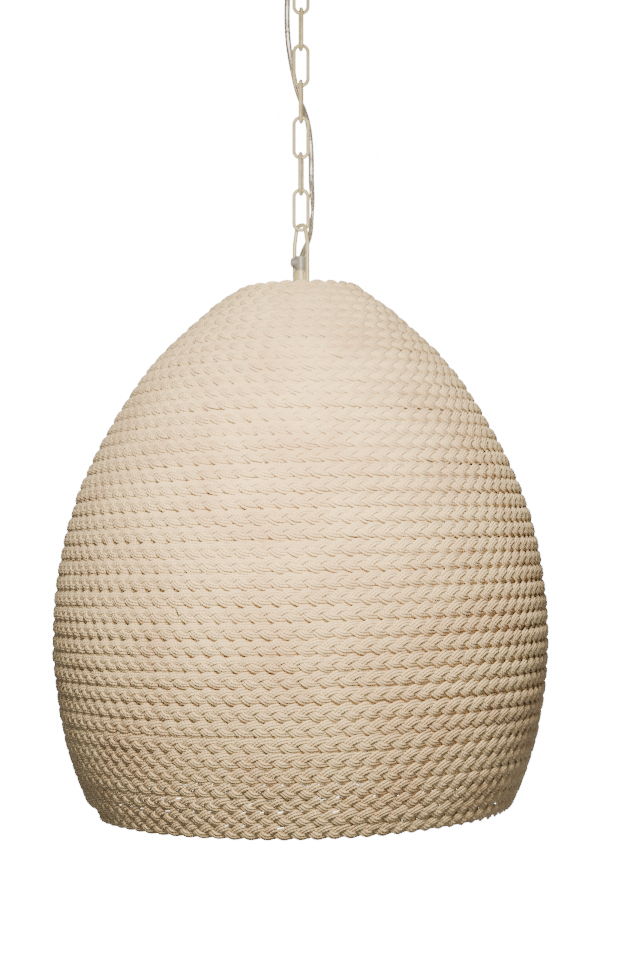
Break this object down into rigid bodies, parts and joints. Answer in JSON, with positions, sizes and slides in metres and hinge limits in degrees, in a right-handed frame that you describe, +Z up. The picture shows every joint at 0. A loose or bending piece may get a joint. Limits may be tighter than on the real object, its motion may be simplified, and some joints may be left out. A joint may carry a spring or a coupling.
{
  "type": "hanging lantern",
  "caption": "Dome-shaped hanging lantern: a shade wound from plaited cord over a wire frame, hung from a ceiling canopy by an oval-link chain with a clear cord.",
  "frame": {"origin": "middle of the mounting crossbar's top face, in the ceiling plane, halfway between its two screw slots", "axes": "+Z up, out of the crossbar into the ceiling; X along the crossbar; -Y faces the side seen from the front, with the odd-numbered links flat to it"},
  "size_m": [0.459, 0.4588, 0.8398],
  "materials": {
    "cream_paint": "satin cream paint",
    "frame_paint": "satin tan paint",
    "braid": "matt twisted cotton cord",
    "clear_cord": "clear flexible vinyl over two stranded conductors",
    "conductor": "fine stranded copper and tinned copper",
    "lead": "clear vinyl",
    "nylon": "natural grey nylon",
    "zinc_steel": "zinc plated",
    "green_screw": "green",
    "phenolic": "moulded dark brown",
    "socket_metal": "brushed",
    "brass": "plain",
    "bulb_shell": "nickel plated",
    "black_glass": "glossy black",
    "clear_glass": "clear",
    "filament": "yellow phosphor"
  },
  "bodies": {
    "ceiling_bracket": {"mounting_crossbar": "zinc_steel", "ground_screw": "green_screw", "canopy_nipple": "zinc_steel", "nipple_lock_nut": "zinc_steel", "canopy_loop": "cream_paint", "supply_leads": "lead"},
    "canopy": {"canopy": "cream_paint", "canopy_ring": "cream_paint"},
    "link_1": {"chain_link_1": "cream_paint", "cord_1": "clear_cord"},
    "link_2": {"chain_link_2": "cream_paint", "cord_2": "clear_cord"},
    "link_3": {"chain_link_3": "cream_paint", "cord_3": "clear_cord"},
    "link_4": {"chain_link_4": "cream_paint", "cord_4": "clear_cord"},
    "link_5": {"chain_link_5": "cream_paint", "cord_5": "clear_cord"},
    "link_6": {"chain_link_6": "cream_paint", "cord_6": "clear_cord"},
    "link_7": {"chain_link_7": "cream_paint", "cord_7": "clear_cord"},
    "lamp": {"cord_8": "clear_cord", "fixture_loop": "cream_paint", "stem_tube": "cream_paint", "cord_grip": "nylon", "cord_grip_screw": "nylon", "lamp_leads": "lead", "lamp_nipple": "zinc_steel", "frame_hub": "frame_paint", "hub_washer": "zinc_steel", "hub_nut": "zinc_steel", "frame_arms": "frame_paint", "frame_top_ring": "frame_paint", "frame_bottom_ring": "frame_paint", "frame_hoop_1": "frame_paint", "frame_hoop_2": "frame_paint", "frame_rib_1": "frame_paint", "frame_rib_2": "frame_paint", "frame_rib_3": "frame_paint", "frame_rib_4": "frame_paint", "frame_rib_5": "frame_paint", "frame_rib_6": "frame_paint", "socket_cap": "socket_metal", "socket_body": "phenolic", "socket_shell": "brass", "socket_contact": "brass", "terminal_screws": "brass", "braid_band_1": "braid", "braid_band_2": "braid", "braid_band_3": "braid", "braid_band_4": "braid", "braid_band_5": "braid", "braid_band_6": "braid"},
    "bulb": {"bulb_cap": "bulb_shell", "bulb_insulator": "black_glass", "bulb_contact": "brass", "bulb_glass": "clear_glass", "bulb_stem": "clear_glass", "bulb_filaments": "filament"}
  },
  "joints": [
    {"name": "canopy_drop", "type": "slide", "parent": "ceiling_bracket", "child": "canopy", "axis": [0, 0, -1], "range_m": [0, 0.018]},
    {"name": "link_1_swing", "type": "hinge", "parent": "ceiling_bracket", "child": "link_1", "pos_m": [0, 0, -0.06645], "axis": [0, 1, 0], "range_deg": [-15, 15], "deforming": ["cord_1"]},
    {"name": "link_2_swing", "type": "hinge", "parent": "link_1", "child": "link_2", "pos_m": [0, 0, -0.1], "axis": [1, 0, 0], "range_deg": [-15, 15], "deforming": ["cord_2"]},
    {"name": "link_3_swing", "type": "hinge", "parent": "link_2", "child": "link_3", "pos_m": [0, 0, -0.13365], "axis": [-0.1219, 0.9925, 0], "range_deg": [-15, 15], "deforming": ["cord_3"]},
    {"name": "link_4_swing", "type": "hinge", "parent": "link_3", "child": "link_4", "pos_m": [0, 0, -0.1673], "axis": [1, 0, 0], "range_deg": [-15, 15], "deforming": ["cord_4"]},
    {"name": "link_5_swing", "type": "hinge", "parent": "link_4", "child": "link_5", "pos_m": [0, 0, -0.20095], "axis": [0.0872, 0.9962, 0], "range_deg": [-15, 15], "deforming": ["cord_5"]},
    {"name": "link_6_swing", "type": "hinge", "parent": "link_5", "child": "link_6", "pos_m": [0, 0, -0.2346], "axis": [1, 0, 0], "range_deg": [-15, 15], "deforming": ["cord_6"]},
    {"name": "link_7_swing", "type": "hinge", "parent": "link_6", "child": "link_7", "pos_m": [0, 0, -0.26825], "axis": [0.1564, 0.9877, 0], "range_deg": [-15, 15], "deforming": ["cord_7"]},
    {"name": "lamp_swing", "type": "hinge", "parent": "link_7", "child": "lamp", "pos_m": [0, 0, -0.3019], "axis": [1, 0, 0], "range_deg": [-12, 12], "deforming": ["cord_8"]},
    {"name": "bulb_unscrew", "type": "slide", "parent": "lamp", "child": "bulb", "axis": [0, 0, -1], "range_m": [0, 0.036]}
  ]
}
